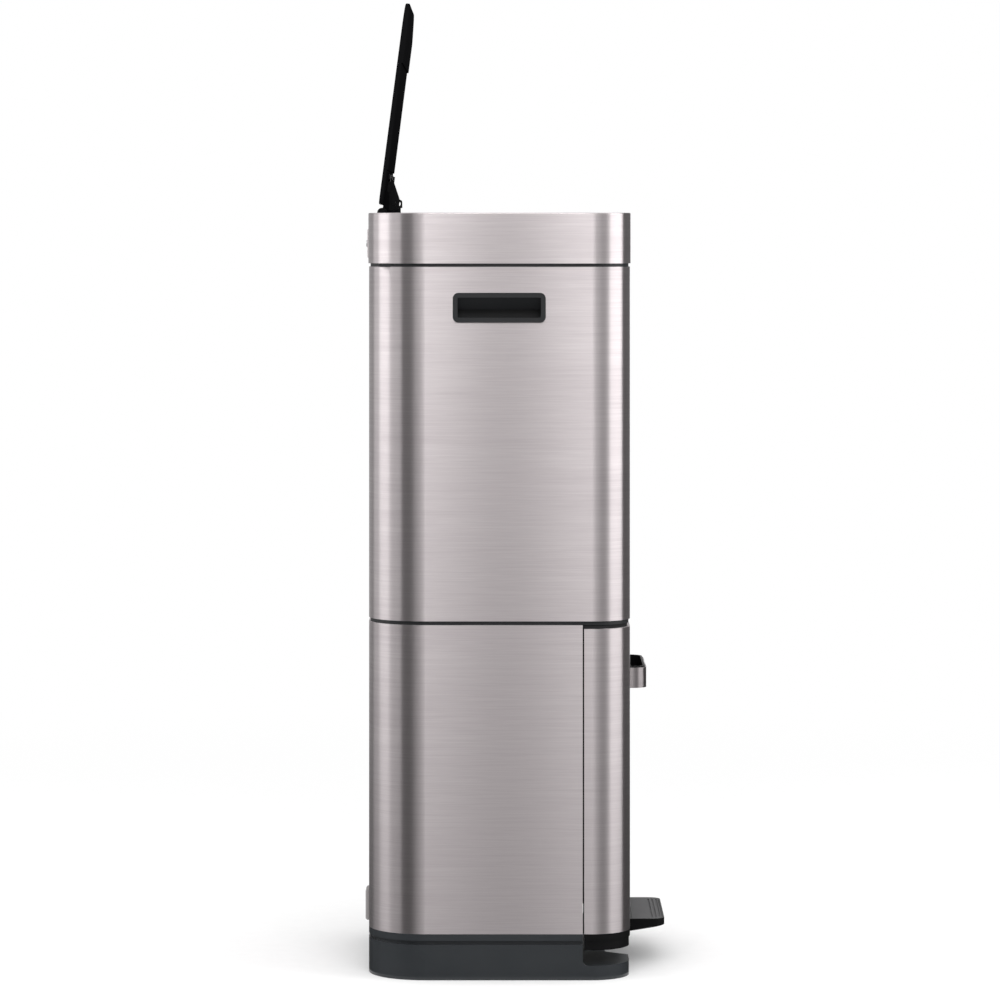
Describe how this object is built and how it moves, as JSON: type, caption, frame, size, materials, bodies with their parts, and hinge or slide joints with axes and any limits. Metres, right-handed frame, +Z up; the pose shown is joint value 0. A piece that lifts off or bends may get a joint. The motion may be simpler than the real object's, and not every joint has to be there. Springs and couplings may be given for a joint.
{
  "type": "double recycling bin",
  "caption": "Tall brushed-steel recycling bin with a pedal-opened lid over an upper bucket and a pull-out drawer with a lower bucket.",
  "frame": {"origin": "on the floor, under the centre of the steel body", "axes": "+Z up, -Y is the front (drawer and pedal), +X to the right seen from the front"},
  "size_m": [0.322, 0.318, 1.0209],
  "materials": {
    "brushed_steel": "horizontal fine brushing, satin",
    "charcoal_plastic": "fine moulded grain",
    "black_plastic": "satin moulded",
    "bucket_plastic": "satin moulded",
    "rubber": "matte",
    "grey_rubber": "matte",
    "pedal_rubber": "matte ribbed",
    "black_steel": "black plated",
    "zinc_steel": "zinc plated"
  },
  "bodies": {
    "cabinet": {"base_tray": "charcoal_plastic", "floor_pads": "rubber", "base_collar": "charcoal_plastic", "lower_shell": "brushed_steel", "mid_frame": "black_plastic", "upper_shell": "brushed_steel", "grip_cup_left": "charcoal_plastic", "grip_cup_right": "charcoal_plastic", "top_collar": "black_plastic", "rim_band": "brushed_steel", "rim_frame": "black_plastic", "hinge_housing": "black_plastic", "hinge_pin": "black_steel", "pin_clips": "black_steel", "rear_cover": "brushed_steel", "cover_screws": "zinc_steel", "lid_buffers": "rubber", "rod_guide_lower": "black_plastic", "rod_guide_upper": "black_plastic", "rod_duct_lower": "black_plastic", "rod_duct_upper": "black_plastic", "damper_cylinder": "black_plastic", "damper_clips": "black_plastic", "pedal_axle": "zinc_steel", "pedal_bracket": "zinc_steel", "bracket_screws": "zinc_steel", "upper_bucket": "bucket_plastic", "cabinet_rail_left": "zinc_steel", "cabinet_rail_right": "zinc_steel", "wall_bumpers": "grey_rubber"},
    "lid": {"lid_shell": "black_plastic", "lid_liner": "black_plastic", "lid_arm_left": "black_plastic", "lid_arm_right": "black_plastic", "lid_screws": "black_steel", "lid_crank": "black_steel", "crank_pin": "black_steel"},
    "push_rod": {"push_rod": "black_steel", "damper_piston": "zinc_steel", "damper_arm": "black_plastic"},
    "pedal_lever": {"pedal_arm": "zinc_steel", "lever_pin": "black_steel", "pedal_plate": "black_plastic", "pedal_pad": "pedal_rubber"},
    "drawer": {"drawer_front": "brushed_steel", "drawer_trim": "black_plastic", "drawer_seals": "rubber", "drawer_liner": "black_plastic", "drawer_tray": "black_plastic", "lower_bucket": "bucket_plastic", "handle_shell": "brushed_steel", "handle_insert": "black_plastic", "handle_screws": "zinc_steel", "drawer_rail_left": "zinc_steel", "drawer_rail_right": "zinc_steel"},
    "middle_rails": {"middle_rail_left": "zinc_steel", "middle_rail_right": "zinc_steel"}
  },
  "joints": [
    {"name": "lid_hinge", "type": "hinge", "parent": "cabinet", "child": "lid", "pos_m": [0, 0.124, 0.8005], "axis": [-1, 0, 0], "range_deg": [-82.5, 0]},
    {"name": "rod_slide", "type": "slide", "parent": "cabinet", "child": "push_rod", "axis": [0, 0, 1], "range_m": [-0.0198, 0]},
    {"name": "pedal_pivot", "type": "hinge", "parent": "cabinet", "child": "pedal_lever", "pos_m": [0, -0.02, 0.033], "axis": [1, 0, 0], "range_deg": [-8.55, 0]},
    {"name": "drawer_slide", "type": "slide", "parent": "cabinet", "child": "drawer", "axis": [0, -1, 0], "range_m": [0, 0.19]},
    {"name": "runner_slide", "type": "slide", "parent": "cabinet", "child": "middle_rails", "axis": [0, -1, 0], "range_m": [0, 0.095]}
  ],
  "couplings": [
    {"joint": "rod_slide", "follows": "lid_hinge", "m_per_rad": 0.013737},
    {"joint": "pedal_pivot", "follows": "lid_hinge", "ratio": 0.1036},
    {"joint": "runner_slide", "follows": "drawer_slide", "ratio": 0.5}
  ]
}
